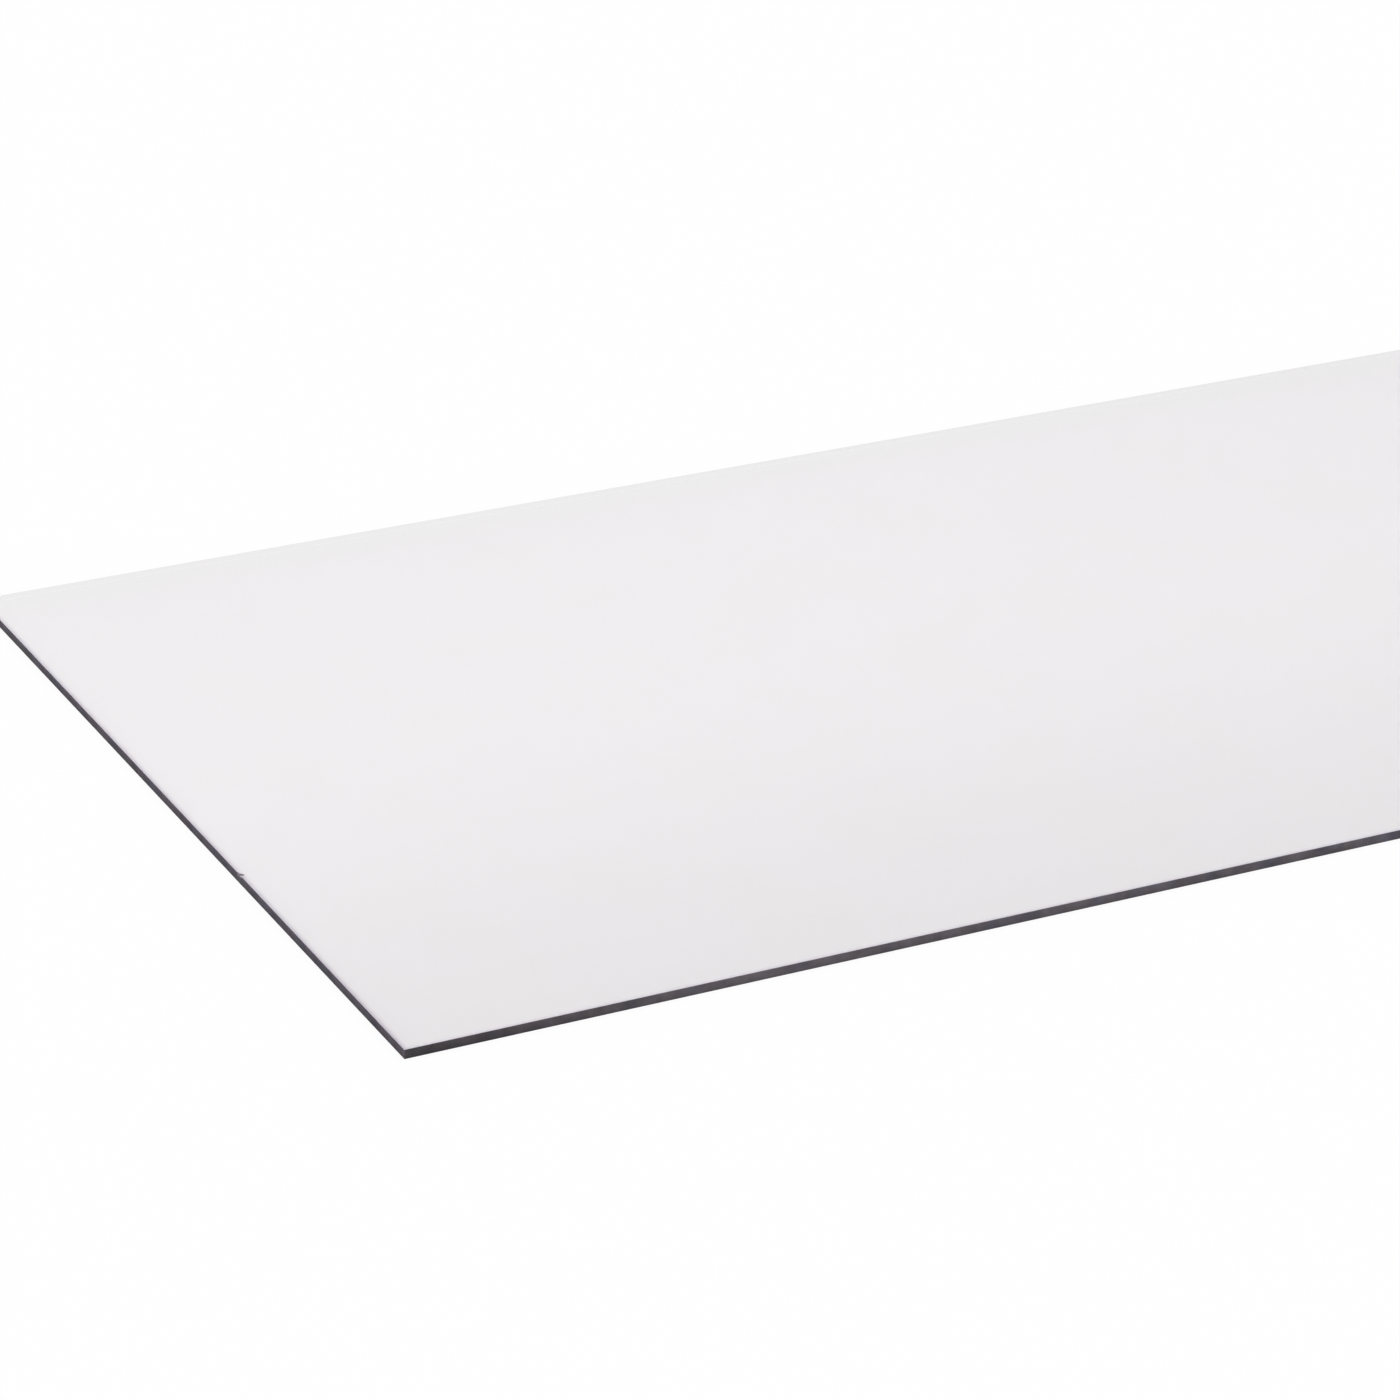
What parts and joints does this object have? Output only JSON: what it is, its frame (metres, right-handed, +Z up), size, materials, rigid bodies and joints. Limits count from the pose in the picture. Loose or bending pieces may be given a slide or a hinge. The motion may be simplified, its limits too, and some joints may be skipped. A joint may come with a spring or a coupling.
{
  "type": "clear plastic sheet",
  "caption": "Flat rectangular sheet of clear plastic with smooth faces, square sawn edges and lightly eased arrises, lying on its face.",
  "frame": {"origin": "middle of the underside, on the surface that the sheet lies on", "axes": "+X along the length towards the right end, +Y across the width away from the front edge, +Z up through the thickness"},
  "size_m": [1, 0.5, 0.004],
  "materials": {
    "clear_plastic": "gloss"
  },
  "bodies": {
    "root": {"sheet": "clear_plastic"}
  },
  "joints": []
}
